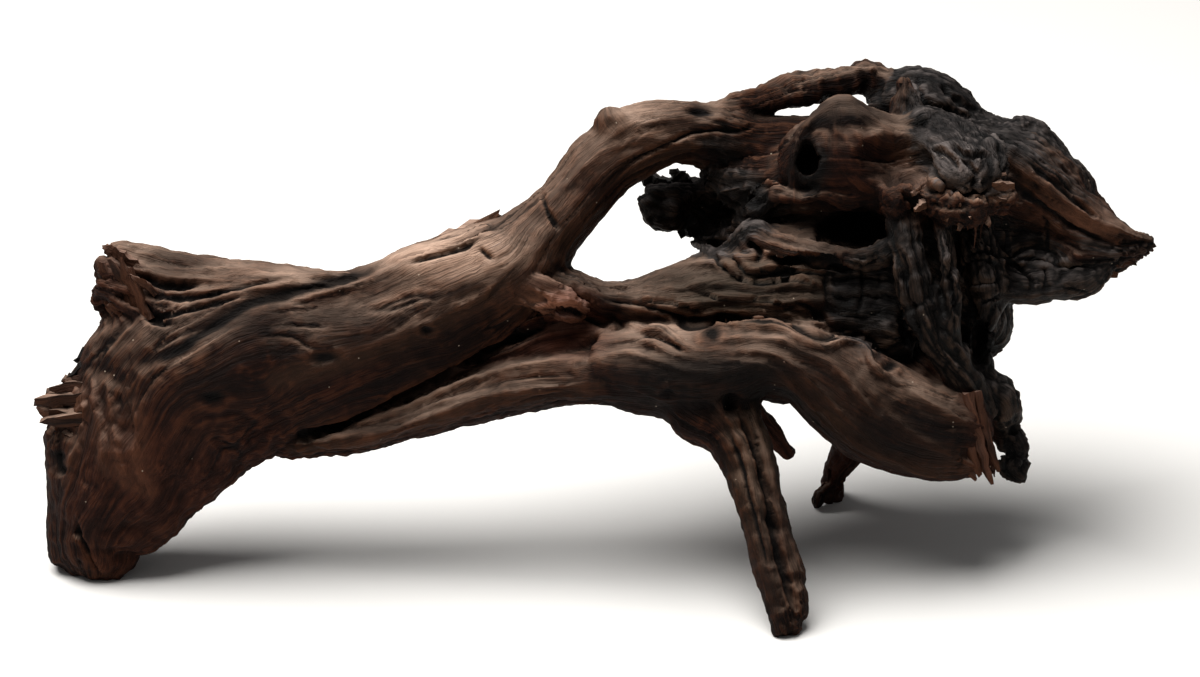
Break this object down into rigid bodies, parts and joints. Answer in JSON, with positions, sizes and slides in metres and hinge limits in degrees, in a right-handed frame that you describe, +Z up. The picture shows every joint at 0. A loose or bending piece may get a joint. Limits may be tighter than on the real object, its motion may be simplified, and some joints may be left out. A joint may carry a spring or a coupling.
{
  "type": "piece of driftwood",
  "caption": "Weathered root-crown driftwood with a long trunk, an arched limb over a gap, a charred hollow heart and a beak, standing on three low points.",
  "frame": {"origin": "middle of the bounding box on the surface that the wood rests on", "axes": "+X along the length towards the beak, +Y away from the side with the hollows, +Z up"},
  "size_m": [0.5763, 0.2361, 0.2375],
  "materials": {
    "weathered_wood": "dry weathered grain, charred and checked at one end"
  },
  "bodies": {
    "root": {"driftwood": "weathered_wood"}
  },
  "joints": []
}
